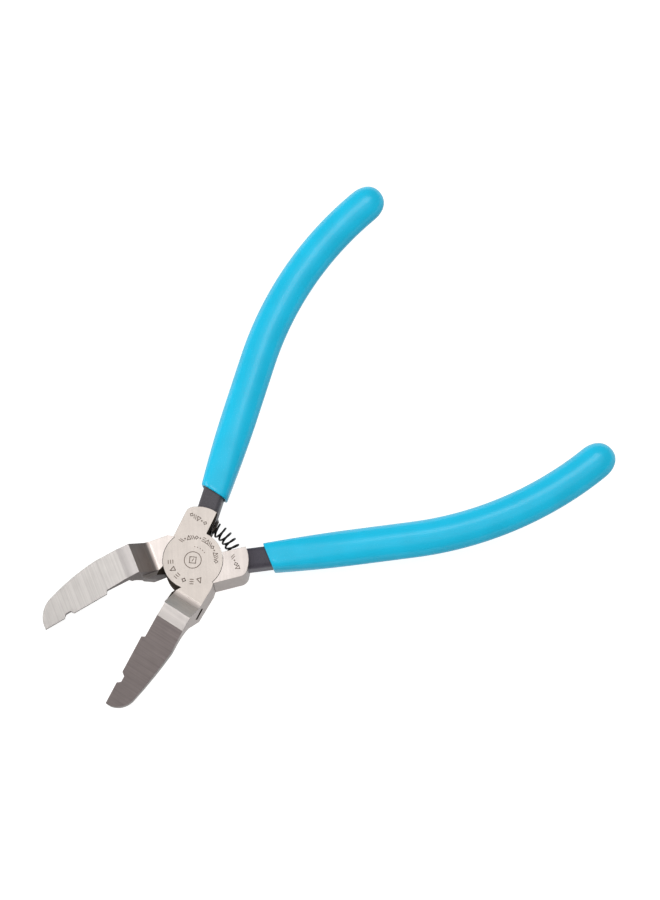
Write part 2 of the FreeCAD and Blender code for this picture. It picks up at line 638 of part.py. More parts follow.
def make_grip(doc, sheet, name, side):
    """Vinyl sleeve: an oval bar along the handle with a round end, a cut rim and the tang's cavity."""
    body = doc.addObject("PartDesign::Body", name)
    body.Label = name
    full_from = "Dims.grip_start + Dims.grip_flare"
    path = new_sketch(body, f"{name}_path", "XY_Plane")
    handle_path(sheet, path, full_from, "Dims.grip_sweep", side)
    start = FreeCAD.Placement(V(0, 0, number(sheet, full_from)), FreeCAD.Rotation())
    oval = new_sketch(body, f"{name}_oval", "YZ_Plane", start)
    draw_ellipse(oval, sheet, "Dims.grip_half_width", "Dims.grip_half_thickness")
    sweep(body, "Additive", f"{name}_bar", oval, path)
    add_mouth(body, sheet, name)
    add_round_end(body, sheet, name, side)
    rim = new_sketch(body, f"{name}_rim", "XY_Plane")
    reach = 3 * number(sheet, "Dims.grip_half_width")
    lean = "Dims.shank_angle * 1deg"
    corners = [
        ("-1", f"{side * reach}"),
        ("-1", f"{-side * reach}"),
        (f"Dims.rim_run - {reach} * sin({lean})", f"{-side * reach} * cos({lean})"),
        (f"Dims.rim_run + {reach} * sin({lean})", f"{side * reach} * cos({lean})"),
    ]
    draw(rim, sheet, corners)
    cut_through(body, rim, f"{name}_rim_cut")
    hollow_path = new_sketch(body, f"{name}_hollow_path", "XY_Plane")
    handle_path(sheet, hollow_path, "0", "Dims.tang_sweep + 0.1", side)
    hollow = new_sketch(body, f"{name}_hollow", "YZ_Plane")
    room = "2 * Dims.grip_gap"
    draw_round_rectangle(
        hollow, sheet, f"Dims.tang_width + {room}", f"Dims.tang_thickness + {room}", "Dims.tang_corner"
    )
    sweep(body, "Subtractive", f"{name}_cavity", hollow, hollow_path)
    body.Placement = half_placement(sheet, side).multiply(handle_placement(sheet, side))
    return body


def make_spring(doc, sheet, name):
    """Coil whose centre line is bent round the pivot axis, from the bottom of one seat to the other."""
    orbit = number(sheet, "Dims.spring_orbit")
    coil = number(sheet, "Dims.coil_radius")
    turns = number(sheet, "Dims.coil_turns")
    first = number(sheet, "Dims.coil_start")
    height = number(sheet, "0.5 * Dims.joint_thickness")
    in_seat = math.degrees((number(sheet, "Dims.seat_depth") - 0.6) / orbit)
    reach = math.radians(number(sheet, "Dims.half_opening + Dims.seat_angle") + in_seat)
    per_turn = 12
    points = []
    for i in range(int(turns * per_turn) + 1):
        share = i / (turns * per_turn)
        round_pivot = math.pi - reach + 2 * reach * share
        round_coil = 2 * math.pi * (turns * share + first)
        out = orbit + coil * math.cos(round_coil)
        points.append(
            V(out * math.cos(round_pivot), out * math.sin(round_pivot), height - coil * math.sin(round_coil))
        )
    curve = Part.BSplineCurve()
    curve.interpolate(points)
    path = Part.Wire([curve.toShape()])
    ring = Part.Circle(points[0], curve.tangent(curve.FirstParameter)[0], number(sheet, "Dims.wire_radius"))
    spring = doc.addObject("Part::Feature", name)
    spring.Label = name
    spring.Shape = path.makePipeShell([Part.Wire([ring.toShape()])], True, True)
    return spring


# ---- building and writing ----------------------------------------------------------------------------


def check(doc, parts):
    doc.recompute()
    for item in doc.Objects:
        if {"Invalid", "Error"} & set(item.State):
            raise RuntimeError(f"{item.Label} failed: {item.State}")
    for part in parts:
        if part.Shape.isNull() or not part.Shape.isValid():
            raise RuntimeError(f"{part.Label} has no valid shape")
        if len(part.Shape.Solids) != 1:
            raise RuntimeError(f"{part.Label} is {len(part.Shape.Solids)} solids")
        print(f"{part.Label}: {part.Shape.Volume:.1f} mm3")


def main():
    doc = FreeCAD.newDocument("nippers")
    sheet = make_sheet(doc)
    parts = [make_half(doc, sheet, "upper_half", 1), make_half(doc, sheet, "lower_half", -1)]
    parts += [make_grip(doc, sheet, "upper_grip", 1), make_grip(doc, sheet, "lower_grip", -1)]
    parts += [make_rivet(doc, sheet, "pivot_rivet"), make_spring(doc, sheet, "return_spring")]
    check(doc, parts)
    os.makedirs("parts", exist_ok=True)
    for part in parts:
        part.Shape.exportStep(f"parts/{part.Label}.step")


main()
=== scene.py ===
"""Looks for the offset-jaw nippers: ground and blackened steel, a coil spring and glossy blue sleeves.

Sizes are in millimetres in the half frame and become metres in the row frame when a mesh is made. The half
frame has x along the closed tool towards the jaws, y towards the half's own jaw and z up from the joint's
back face. Angles are in degrees.
"""
import math

import bpy
from mathutils import Matrix, Vector


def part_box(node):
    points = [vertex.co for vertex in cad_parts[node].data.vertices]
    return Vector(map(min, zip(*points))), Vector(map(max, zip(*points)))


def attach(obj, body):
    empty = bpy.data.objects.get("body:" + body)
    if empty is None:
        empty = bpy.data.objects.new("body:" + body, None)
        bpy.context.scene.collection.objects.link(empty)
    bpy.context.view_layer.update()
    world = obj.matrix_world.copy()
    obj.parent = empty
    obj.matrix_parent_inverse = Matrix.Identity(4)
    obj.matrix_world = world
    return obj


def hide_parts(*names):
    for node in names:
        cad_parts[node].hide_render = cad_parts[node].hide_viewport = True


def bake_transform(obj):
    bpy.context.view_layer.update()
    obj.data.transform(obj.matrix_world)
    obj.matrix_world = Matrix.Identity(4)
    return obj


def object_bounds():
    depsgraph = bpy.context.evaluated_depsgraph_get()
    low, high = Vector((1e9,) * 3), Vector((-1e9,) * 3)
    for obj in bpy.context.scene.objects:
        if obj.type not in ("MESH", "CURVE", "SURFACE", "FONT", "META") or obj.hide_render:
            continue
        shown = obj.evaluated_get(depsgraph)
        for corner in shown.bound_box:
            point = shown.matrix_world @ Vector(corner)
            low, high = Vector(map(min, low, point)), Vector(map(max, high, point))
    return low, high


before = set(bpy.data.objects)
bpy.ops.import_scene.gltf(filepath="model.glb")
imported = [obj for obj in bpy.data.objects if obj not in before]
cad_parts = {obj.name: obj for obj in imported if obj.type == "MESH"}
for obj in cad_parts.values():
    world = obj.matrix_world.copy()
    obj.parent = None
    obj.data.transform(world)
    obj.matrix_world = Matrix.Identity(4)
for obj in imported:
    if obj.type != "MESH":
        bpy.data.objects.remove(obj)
cad_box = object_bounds()

MM = 0.001
UPPER, LOWER = 1, -1
SIDES = {"upper": UPPER, "lower": LOWER}

HALF_OPENING = 17.5  # each half is turned this far from the closed line
RIVET_COVER = 1.2  # steel left between the rivet's end and the front face
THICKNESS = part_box("pivot_rivet")[1].z / MM + RIVET_COVER  # of the joint
DISC_RADIUS = 8.9
BLOCK_END_X = 16.0  # how far behind the pivot the blocks end
RAMP_RISE, RAMP_RUN = 5.35, 5.0
RAMP_NORMAL_Z = math.cos(math.atan2(RAMP_RISE, RAMP_RUN))
CREST_X, BAND_X = 16.0, 20.1  # the band lies between the ramp's crest and the blade's flat

FACE_GRAIN = 36.0  # the joint's faces are ground across the tool as it lies open
EDGE_RADIUS, FORGED_EDGE_RADIUS = 0.15, 0.25


def row_matrix(side):
    """From a half frame in mm, its jaw on +y, to the row frame in metres."""
    turn = Matrix.Rotation(math.radians(side * HALF_OPENING), 4, "Z")
    return Matrix.Scale(MM, 4) @ turn @ Matrix.Diagonal((1, side, 1, 1))


# ---- node helpers ------------------------------------------------------------------------------------


class Nodes:
    """A material's node tree with short calls for the nodes used here."""

    def __init__(self, name):
        self.material = bpy.data.materials.new(name)
        self.material.use_nodes = True
        self.tree = self.material.node_tree
        self.shader = self.tree.nodes["Principled BSDF"]

    def add(self, kind, inputs=None, **settings):
        """A new node; inputs are values or other nodes' outputs, settings the node's own attributes."""
        node = self.tree.nodes.new("ShaderNode" + kind)
        for key, value in settings.items():
            setattr(node, key, value)
        for key, value in (inputs or {}).items():
            self.feed(node.inputs[key], value)
        return node

    def feed(self, socket, value):
        if isinstance(value, bpy.types.NodeSocket):
            self.tree.links.new(value, socket)
        else:
            socket.default_value = value

    def set(self, **inputs):
        """Inputs of the surface shader, with _ for a blank."""
        for key, value in inputs.items():
            self.feed(self.shader.inputs[key.replace("_", " ")], value)

    def place(self, turn=0.0, stretch=(1, 1, 1)):
        """Object coordinates in mm, turned by so many degrees about Z, then stretched."""
        here = self.add("TexCoord").outputs["Object"]
        scale = [s / MM for s in stretch]
        angle = (0, 0, math.radians(turn))
        turned = self.add("Mapping", {"Vector": here, "Rotation": angle}).outputs[0]
        return self.add("Mapping", {"Vector": turned, "Scale": scale}).outputs[0]

    def noise(self, vector, scale, detail=2.0, roughness=0.5):
        inputs = {"Vector": vector, "Scale": scale, "Detail": detail, "Roughness": roughness}
        return self.add("TexNoise", inputs).outputs["Fac"]

    def spread(self, value, low, high, start=0.3, end=0.7):
        """A texture value from start..end turned into low..high."""
        inputs = {"Value": value, "From Min": start, "From Max": end, "To Min": low, "To Max": high}
        return self.add("MapRange", inputs).outputs["Result"]

    def ramp(self, value, stops):
        """A colour ramp; stops are (place, colour)."""
        node = self.add("ValToRGB", {"Fac": value})
        elements = node.color_ramp.elements
        while len(elements) < len(stops):
            elements.new(0.5)
        for element, (position, colour) in zip(elements, stops):
            element.position = position
            element.color = (*colour, 1)
        return node.outputs["Color"]

    def multiply(self, colour, share):
        """A colour made darker or lighter by a value."""
        return self.add("VectorMath", {0: colour, 1: share}, operation="MULTIPLY").outputs[0]

    def bump(self, height, strength, distance, normal=None):
        """Shading normals from a height; distance is the relief in mm."""
        inputs = {"Height": height, "Strength": strength, "Distance": distance * MM}
        if normal is not None:
            inputs["Normal"] = normal
        return self.add("Bump", inputs).outputs["Normal"]

    def rounded(self, radius):
        """Shading normals that round every edge."""
        return self.add("Bevel", {"Radius": radius * MM}, samples=8).outputs["Normal"]


def linear(text):
    """A hexadecimal sRGB colour as linear light."""
    parts = [int(text[i : i + 2], 16) / 255 for i in (0, 2, 4)]
    return tuple(((p + 0.055) / 1.055) ** 2.4 if p > 0.04045 else p / 12.92 for p in parts)


def scaled(colour, share):
    return tuple(min(1.0, c * share) for c in colour)


def colour_between(nodes, value, colour, low, high):
    """The colour made darker or lighter, from low to high times itself, by a noise's value."""
    return nodes.ramp(value, [(0.3, scaled(colour, low)), (0.7, scaled(colour, high))])


# ---- steel -------------------------------------------------------------------------------------------

HALF_GRAIN = (3.5, 0.12)


def steel(
    name, tone, roughness, side, grain=HALF_GRAIN, turn=None, fade=None, streak=None, shine=0.85, gloss=0.5
):
    """Ground steel.

    grain: how fine its lines are along the tool and across it.
    turn: the way the lines run, else the half's own.
    fade: (x0, share0, x1, share1), the tone is share0 of itself at x0 mm along the half and share1 at x1.
    streak: (how many a mm, how strong), bands that run across the half.
    shine and gloss: how metallic it is and how strongly it reflects; walls in shadow have little of either.
    """
    nodes = Nodes(name)
    home = nodes.place(-side * HALF_OPENING)
    grain_turn = -side * HALF_OPENING if turn is None else turn
    lines = nodes.noise(nodes.place(grain_turn, (grain[0], grain[1], 1.0)), 1.0, detail=4.0, roughness=0.7)
    cloud = nodes.noise(home, 0.25)
    mix = nodes.add("Math", {0: lines, 1: cloud}, operation="ADD").outputs[0]
    even = nodes.add("Math", {0: mix, 1: 0.5}, operation="MULTIPLY").outputs[0]
    colour = colour_between(nodes, even, linear(tone), 0.93, 1.07)
    along = nodes.add("SeparateXYZ", {"Vector": home}).outputs["X"]
    if fade:
        share = nodes.spread(along, fade[1], fade[3], fade[0], fade[2])
        colour = nodes.multiply(colour, share)
    if streak:
        rows = nodes.noise(nodes.place(grain_turn, (streak[0], 0.03, 0.3)), 1.0)
        colour = nodes.multiply(colour, nodes.spread(rows, 1 - streak[1], 1 + streak[1]))
    nodes.set(Base_Color=colour)
    nodes.set(Roughness=nodes.spread(lines, roughness - 0.05, roughness + 0.05))
    nodes.set(Metallic=shine, Specular_IOR_Level=gloss)
    nodes.set(Normal=nodes.bump(lines, strength=0.06, distance=0.01, normal=nodes.rounded(EDGE_RADIUS)))
    return nodes.material


def black_oxide(name, tone):
    """Forged and blackened steel: dull, faintly speckled."""
    nodes = Nodes(name)
    speck = nodes.noise(nodes.place(), 2.5, detail=4.0, roughness=0.65)
    nodes.set(Base_Color=colour_between(nodes, speck, linear(tone), 0.8, 1.25))
    nodes.set(Roughness=nodes.spread(speck, 0.42, 0.6))
    nodes.set(Metallic=0.15, Specular_IOR_Level=0.3)
    edges = nodes.rounded(FORGED_EDGE_RADIUS)
    nodes.set(Normal=nodes.bump(speck, strength=0.25, distance=0.05, normal=edges))
    return nodes.material


# Tones of each half's finishes, and how they fade along the half, as steel() takes it. The ramp, foot and
# band tones are painted light and shade: one steel, painted lighter on the upper half and darker on the
# lower.
TONES = {
    UPPER: {"ground": "C9C0B9", "foot": "A79F9A", "ramp": "D6CFC9", "band": "DCD5D1", "blade": "A99D9B"},
    LOWER: {"ground": "D1C8C3", "foot": "7C7571", "ramp": "867C77", "band": "ACA7A5", "blade": "A5A19E"},
}
SHANK_TONES = {UPPER: "565358", LOWER: "4C4851"}
# The foot's tone is painted lighter where the fillet meets the flat face, and the band carries a painted
# highlight by the crest, both standing in for reflected light; the lower half's ground face grows lighter
# towards the jaw.
FADES = {
    UPPER: {
        "ground": (-14.0, 1.0, 12.0, 1.0),
        "foot": (9.8, 2.4, 12.4, 1.0),
        "band": (16.0, 1.02, 20.0, 0.96),
    },
    LOWER: {
        "ground": (-14.0, 0.97, 12.0, 1.26),
        "foot": (10.3, 4.6, 11.2, 1.0),
        "band": (16.2, 1.12, 20.0, 0.86),
    },
}
# The ramp's fade paints it lighter by its foot; the inner walls' fade paints shade on them towards the
# joint.
RAMP_PAINTED_LIGHT, BLADE_FADE = (11.0, 1.15, 15.0, 0.95), (20.0, 1.03, 46.0, 0.96)
WALL_FADE, INNER_PAINTED_SHADE = (19.0, 1.0, 26.0, 0.5), (9.0, 0.3, 12.5, 1.0)


def half_materials(side):
    """One material per finish of a half, by zone name."""
    half = "upper" if side > 0 else "lower"
    tones, fades = TONES[side], FADES[side]

    def finish(zone, roughness, tone=None, **looks):
        return steel(f"{half}_{zone}", tone or tones[zone], roughness, side, **looks)

    return {
        "ground": finish(
            "ground", 0.42, grain=(3.0, 0.25), turn=FACE_GRAIN, fade=fades["ground"], streak=(1.2, 0.04)
        ),
        "foot": finish("foot", 0.6, fade=fades["foot"], shine=0.3, gloss=0.2),
        "ramp": finish("ramp", 0.36, fade=RAMP_PAINTED_LIGHT, streak=(1.0, 0.1)),
        "band": finish("band", 0.36, fade=fades["band"], streak=(0.7, 0.08)),
        "blade": finish("blade", 0.36, fade=BLADE_FADE, streak=(2.5, 0.09)),
        "wall": finish("wall", 0.4, "8C837F", grain=(1.5, 3.0), fade=WALL_FADE),
        "under": finish("under", 0.4, "A8A19D", grain=(3.0, 0.3)),
        # Painted shade: the inner walls are darker and duller, more so towards the joint.
        "inner": finish("inner", 0.5, "5C5351", grain=(2.0, 2.0), fade=INNER_PAINTED_SHADE, shine=0.2, gloss=0.2),
        # Painted shade: a dull dark finish for the slot's inside and the gap round the disc, also given to
        # the lip and the block's inner face.
        "dark": finish("dark", 0.6, "433C36", grain=(2.0, 2.0), shine=0.0, gloss=0.0),
        "black": black_oxide(f"{half}_black", SHANK_TONES[side]),
    }


# Borders of the zones, mm in the half frame, the numbers of a dictionary being for each half.
LEVEL_Z, WALL_Z = 0.95, 0.3  # a normal's z from which a face is level, and up to which it is upright
RAMP_TOLERANCE = 0.02
FORGED_GAP = 0.2  # the blackened shank starts this far behind the block
GAP_REACH = 0.4  # the disc's recess ends this far outside the disc
SLOT_X, SLOT_Y, SLOT_Z = (9.2, 14.2), 8.3, (3.0, 9.0)
NECK_WALL_Y = {UPPER: 9.7, LOWER: 10.0}
LIP_X, LIP_END_X = 8.0, {UPPER: 14.8, LOWER: 11.8}
LIP_Y, LIP_Z, LIP_NORMAL_Z = (-0.2, 1.9), (4.0, THICKNESS + 0.1), (0.2, 0.95)
BLOCK_FACE_Y, INNER_WALL_Y = 4.0, 3.0
UNDERSIDE_X = 12.0


def inside(value, limits):
    return limits[0] < value < limits[1]


def zone_of(centre, normal, side):
    """Which finish a face of a half has. Both vectors are in the half frame, mm."""
    along, out, up = centre
    level = abs(normal.z) > LEVEL_Z and on_plane(up)
    if along < -BLOCK_END_X - FORGED_GAP and (abs(normal.z) < 0.9 or not on_plane(up)):
        return "black"
    if along < -BLOCK_END_X or level:
        return "ground"
    if normal.z > WALL_Z and up > THICKNESS:
        if along > CREST_X:
            return "band" if along < BAND_X else "blade"
        return "foot" if normal.z > RAMP_NORMAL_Z + RAMP_TOLERANCE else "ramp"
    if normal.z > WALL_Z and along > BAND_X:
        return "blade"
    in_slot = inside(along, SLOT_X) and inside(out, (SLOT_Y, NECK_WALL_Y[side])) and inside(up, SLOT_Z)
    near_joint = math.hypot(along, out) < DISC_RADIUS + GAP_REACH
    at_lip = inside(along, (LIP_X, LIP_END_X[side])) and inside(out, LIP_Y) and inside(up, LIP_Z)
    lip = at_lip and inside(normal.z, LIP_NORMAL_Z)
    block_face = along < 0 and normal.y > 0.5 and abs(out) < BLOCK_FACE_Y
    # The slot's inside and the walls round the disc take the dark finish as painted shade.
    if in_slot or near_joint or block_face or lip:
        return "dark"
    if abs(normal.z) <= WALL_Z:
        faces_in = along > 0 and normal.y < -0.5 and abs(out) < INNER_WALL_Y
        return "inner" if faces_in else "wall"
    return "under" if along > UNDERSIDE_X else "wall"


def on_plane(up):
    """Whether a height is that of the joint's front or back face."""
    return abs(up - THICKNESS) < 0.05 or abs(up) < 0.05


def dress_half(name, side):
    """Gives every face of a half the material of its zone."""
    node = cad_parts[name]
    materials = half_materials(side)
    node.data.materials.clear()
    for material in materials.values():
        node.data.materials.append(material)
    order = {zone: i for i, zone in enumerate(materials)}
    to_half = row_matrix(side).inverted()
    for face in node.data.polygons:
        centre = to_half @ face.center
        normal = (to_half.to_3x3() @ face.normal).normalized()
        face.material_index = order[zone_of(centre, normal, side)]


# ---- meshes ------------------------------------------------------------------------------------------

CORNERS = [(-1, -1), (1, -1), (1, 1), (-1, 1)]


def add_mesh(name, points, faces, materials, smooth=True):
    mesh = bpy.data.meshes.new(name)
    mesh.from_pydata([tuple(p) for p in points], [], faces)
    mesh.validate()
    for material in materials:
        mesh.materials.append(material)
    for face in mesh.polygons:
        face.use_smooth = smooth
    piece = bpy.data.objects.new(name, mesh)
    bpy.context.scene.collection.objects.link(piece)
    return piece


def skin(rings, closed_start=False, closed_end=False):
    """Points and faces of a tube through rings of equally many points."""
    count = len(rings[0])
    points = [p for ring in rings for p in ring]
    faces = []
    for i in range(len(rings) - 1):
        for j in range(count):
            k = (j + 1) % count
            a, b = i * count, (i + 1) * count
            faces.append((a + j, a + k, b + k, b + j))
    if closed_start:
        faces.append(tuple(reversed(range(count))))
    if closed_end:
        last = (len(rings) - 1) * count
        faces.append(tuple(range(last, last + count)))
    return points, faces


# ---- sleeves -----------------------------------------------------------------------------------------

SHANK_ANGLE, SHANK_TILT = 15.6, 3.2
SHANK_ROOT = (-12.0, -4.28, 6.3)
HANDLE_RUN, HANDLE_RADIUS = 52.95, 106.0  # the centre line is straight, then an arc
GRIP_SWEEP, CAP_LENGTH, CAP_POWER = 32.0, 7.0, 2.25  # the round end is a superellipse
GRIP_WALL = 0.85
RIM_RUN = 9.66  # where the mouth is
RIM_HALF, FULL_HALF = (4.4, 4.4), (5.4, 5.1)  # half width and half thickness
RIM_SQUARENESS = 3.2  # power of the section's superellipse at the mouth; 2 is an ellipse
TAPER_LENGTH = 26.0
LEAN_LENGTH = 14.0  # the mouth lies along the half's y, and the sections straighten over this length
# The mouth's profile from its inside to its outside: (how far behind the rim, how far within the surface).
MOUTH = [(3.0, GRIP_WALL), (0.4, GRIP_WALL), (0.1, 0.73), (0.0, 0.45), (0.08, 0.16), (0.3, 0.0)]
LENGTH_STEPS, CAP_STEPS, GRIP_SIDES = 70, 15, 64


def handle_matrix():
    """From the handle frame to the half frame, both mm with the jaw on +y."""
    turn = Matrix.Rotation(math.radians(180 + SHANK_ANGLE), 4, "Z")
    tilt = Matrix.Rotation(math.radians(-SHANK_TILT), 4, "Y")
    return Matrix.Translation(SHANK_ROOT) @ turn @ tilt


def handle_point(run, wide, high):
    """A point beside the handle's centre line, run mm along it, in the handle frame."""
    bend = max(0.0, run - HANDLE_RUN) / HANDLE_RADIUS
    straight = min(run, HANDLE_RUN)
    x = straight + (HANDLE_RADIUS + wide) * math.sin(bend)
    y = wide if not bend else wide * math.cos(bend) - HANDLE_RADIUS * (1 - math.cos(bend))
    return Vector((x, y, high))


def grip_sections():
    """Rings from inside the mouth, round its lip, to the end.

    Each is (run, half width, half thickness, lean, power of its superellipse).
    """
    rim_w, rim_h = RIM_HALF
    full_w, full_h = FULL_HALF
    rings = [(RIM_RUN + s, rim_w - d, rim_h - d, 1.0, RIM_SQUARENESS) for s, d in MOUTH]
    start = RIM_RUN + MOUTH[-1][0]
    end = HANDLE_RUN + math.radians(GRIP_SWEEP) * HANDLE_RADIUS
    for i in range(1, LENGTH_STEPS + 1):
        run = start + (end - start) * i / LENGTH_STEPS
        share = min(1.0, (run - RIM_RUN) / TAPER_LENGTH)
        grow = math.sin(share * math.pi / 2)
        lean = max(0.0, 1 - (run - RIM_RUN) / LEAN_LENGTH)
        power = RIM_SQUARENESS + (2 - RIM_SQUARENESS) * grow
        rings.append((run, rim_w + (full_w - rim_w) * grow, rim_h + (full_h - rim_h) * grow, lean, power))
    for i in range(1, CAP_STEPS + 1):
        reach = math.sin(math.pi / 2 * i / (CAP_STEPS + 0.4))  # the last ring keeps a little width
        shrink = (1 - reach**CAP_POWER) ** (1 / CAP_POWER)
        rings.append((end + CAP_LENGTH * reach, full_w * shrink, full_h * shrink, 0.0, 2.0))
    return rings


def bulge(value, power):
    """A sine or cosine made squarer."""
    return math.copysign(abs(value) ** (2 / power), value)


def make_grip(name, side, material, dark):
    place = row_matrix(side) @ handle_matrix()
    lean_slope = math.tan(math.radians(SHANK_ANGLE))
    rings = []
    for run, wide, high, lean, power in grip_sections():
        ring = []
        for j in range(GRIP_SIDES):
            angle = 2 * math.pi * j / GRIP_SIDES
            across = wide * bulge(math.cos(angle), power)
            up = high * bulge(math.sin(angle), power)
            ring.append(place @ handle_point(run + across * lean_slope * lean, across, up))
        rings.append(ring if side > 0 else ring[::-1])
    points, faces = skin(rings, closed_end=True)
    piece = add_mesh(name, points, faces, [material, dark])
    for face in piece.data.polygons[: 2 * GRIP_SIDES]:  # the two bands inside the mouth
        face.material_index = 1
    return piece


def vinyl():
    """Dipped vinyl: smooth, glossy and slightly uneven, with painted shade down its sides, where its colour
    darkens and it reflects less.
    """
    nodes = Nodes("grip_vinyl")
    slow = nodes.noise(nodes.place(), 0.12, detail=1.0)
    fine = nodes.noise(nodes.place(), 3.0)
    normal = nodes.add("NewGeometry").outputs["Normal"]
    facing_up = nodes.add("SeparateXYZ", {"Vector": normal}).outputs["Z"]
    colour = colour_between(nodes, slow, linear("19CEF7"), 0.96, 1.04)
    # Painted shade: the colour darkens and the reflection weakens as the surface turns from facing up.
    shade = nodes.spread(facing_up, 0.58, 1.0, start=0.0, end=0.75)
    gloss = nodes.spread(facing_up, 0.08, 0.5, start=0.3, end=0.85)
    grain = nodes.bump(fine, strength=0.04, distance=0.05)
    nodes.set(Base_Color=nodes.multiply(colour, shade))
    nodes.set(Roughness=nodes.spread(fine, 0.2, 0.28))
    nodes.set(IOR=1.45, Specular_IOR_Level=gloss)
    nodes.set(Normal=nodes.bump(slow, strength=0.15, distance=0.3, normal=grain))
    return nodes.material


def dark_gap():
    """The shadowed inside of a sleeve's mouth."""
    nodes = Nodes("mouth_dark")
    speck = nodes.noise(nodes.place(), 2.0)
    nodes.set(Base_Color=colour_between(nodes, speck, linear("0C1A22"), 0.8, 1.2))
    nodes.set(Roughness=0.6)
    return nodes.material


# ---- spring ------------------------------------------------------------------------------------------

SPRING_ORBIT, COIL_RADIUS, WIRE_RADIUS = 12.6, 1.9, 0.32
COIL_TURNS, COIL_START = 8.0, -0.25
SPRING_REACH = 33.9  # the coil's ends lie this far each way from the handles' middle line
COIL_STEPS, WIRE_SIDES = 360, 12


def round_pivot(angle, orbit, height=0.0):
    """A point by its angle and distance round the pivot."""
    return Vector((orbit * math.cos(angle), orbit * math.sin(angle), height))


def make_spring(material):
    """The coil follows a circle round the pivot."""

    def axis_angle(share):
        return math.radians(180 - SPRING_REACH + 2 * SPRING_REACH * share)

    def point(share):
        coil_angle = 2 * math.pi * (COIL_TURNS * share + COIL_START)
        out = SPRING_ORBIT + COIL_RADIUS * math.cos(coil_angle)
        return round_pivot(axis_angle(share), out, THICKNESS / 2 - COIL_RADIUS * math.sin(coil_angle))

    rings = []
    for i in range(COIL_STEPS + 1):
        share = i / COIL_STEPS
        here = point(share)
        along = (point(share + 0.001) - point(share - 0.001)).normalized()
        outward = (here - round_pivot(axis_angle(share), SPRING_ORBIT, THICKNESS / 2)).normalized()
        outward = (outward - along * outward.dot(along)).normalized()
        other = along.cross(outward)
        ring = []
        for j in range(WIRE_SIDES):
            angle = 2 * math.pi * j / WIRE_SIDES
            offset = outward * math.cos(angle) + other * math.sin(angle)
            ring.append((here + offset * WIRE_RADIUS) * MM)
        rings.append(ring)
    points, faces = skin(rings, True, True)
    piece = add_mesh("return_spring_coil", points, faces, [material])
    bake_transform(piece)
    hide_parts("return_spring")


def spring_black():
    """The coil's blackened wire."""
    nodes = Nodes("spring_black")
    speck = nodes.noise(nodes.place(), 4.0, detail=3.0)
    nodes.set(Base_Color=colour_between(nodes, speck, linear("1C1A1B"), 0.7, 1.3))
    nodes.set(Roughness=nodes.spread(speck, 0.3, 0.45))
    nodes.set(Metallic=0.4)
    return nodes.material


# ---- etched marks ------------------------------------------------------------------------------------


def etched():
    """Etched marks: duller and darker than the ground face."""
    nodes = Nodes("etched_grey")
    speck = nodes.noise(nodes.place(), 6.0, detail=3.0)
    nodes.set(Base_Color=colour_between(nodes, speck, linear("7A6C62"), 0.85, 1.2))
    nodes.set(Roughness=0.6)
    nodes.set(Metallic=0.3)
    return nodes.material


def axes(turn):
    """Unit vectors along a direction and to its left."""
    along = Vector((math.cos(turn), math.sin(turn)))
    return along, Vector((-along.y, along.x))


class Marks:
    """Flat etched shapes just above a half's front face, gathered into one mesh."""

    LIFT, DEPTH = 0.008, 0.02

    def __init__(self):
        self.points = []
        self.faces = []

    def plate(self, outline):
        """A thin plate; outline is points (x, y) in row mm, counter-clockwise."""
        top, low = THICKNESS + self.LIFT, THICKNESS - self.DEPTH
        start, count = len(self.points), len(outline)
        self.points += [Vector((x, y, low)) * MM for x, y in outline]
        self.points += [Vector((x, y, top)) * MM for x, y in outline]
        self.faces.append(tuple(range(start + count, start + 2 * count)))
        for j in range(count):
            k = (j + 1) % count
            self.faces.append((start + j, start + k, start + count + k, start + count + j))

    def bar(self, centre, turn, length, width):
        """A rectangle round centre, its length along turn."""
        along, across = axes(turn)
        middle = Vector(centre)
        outline = [middle + along * a * length / 2 + across * b * width / 2 for a, b in CORNERS]
        self.plate([tuple(p) for p in outline])

    def frame(self, centre, turn, length, height, width):
        """Four bars round a rectangle; length runs along turn, width is the bars' own."""
        along, across = axes(turn)
        for way in (-1, 1):
            self.bar(Vector(centre) + across * way * (height - width) / 2, turn, length, width)
            self.bar(Vector(centre) + along * way * (length - width) / 2, turn + math.pi / 2, height, width)

    def shape(self, kind, centre, turn, size):
        """A plain shape in place of a character, as tall as size along turn."""
        stroke = 0.15 * size
        along, across = axes(turn)
        middle = Vector(centre)
        if kind == "dot":
            self.bar(centre, turn, 0.3 * size, 0.3 * size)
        elif kind == "diamond":
            self.frame(centre, turn + math.pi / 4, 0.62 * size, 0.62 * size, stroke)
        elif kind == "slants":
            for way in (-1, 1):
                self.bar(middle + across * way * 0.2 * size, turn + math.radians(25), size, stroke)
        elif kind == "wedge":
            top = middle + along * 0.45 * size
            feet = [middle - along * 0.4 * size + across * way * 0.38 * size for way in (-1, 1)]
            for start, end in ((top, feet[0]), (top, feet[1]), (feet[0], feet[1])):
                edge = end - start
                self.bar((start + end) / 2, math.atan2(edge.y, edge.x), edge.length + 0.8 * stroke, stroke)
        elif kind == "rows":
            for way in (-1, 0, 1):
                self.bar(middle + along * way * 0.4 * size, turn + math.pi / 2, 0.7 * size, stroke)

    def ring(self, centre, radius, width, sides=48):
        """A circle of short bars that just overlap."""
        for i in range(sides):
            angle = 2 * math.pi * (i + 0.5) / sides
            place = Vector(centre) + Vector((math.cos(angle), math.sin(angle))) * radius
            self.bar(place, angle + math.pi / 2, 2.06 * radius * math.sin(math.pi / sides), width)

    def finish(self, name, body, material):
        piece = add_mesh(name, self.points, self.faces, [material], smooth=False)
        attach(piece, body)


def arc_marks(marks, kinds, middle, sweep, orbit, size):
    """Shapes evenly spaced round the pivot, their tops outwards."""
    for i, kind in enumerate(kinds):
        angle = math.radians(middle + sweep * (i / (len(kinds) - 1) - 0.5))
        place = Vector((math.cos(angle), math.sin(angle))) * orbit
        marks.shape(kind, place, angle, size)


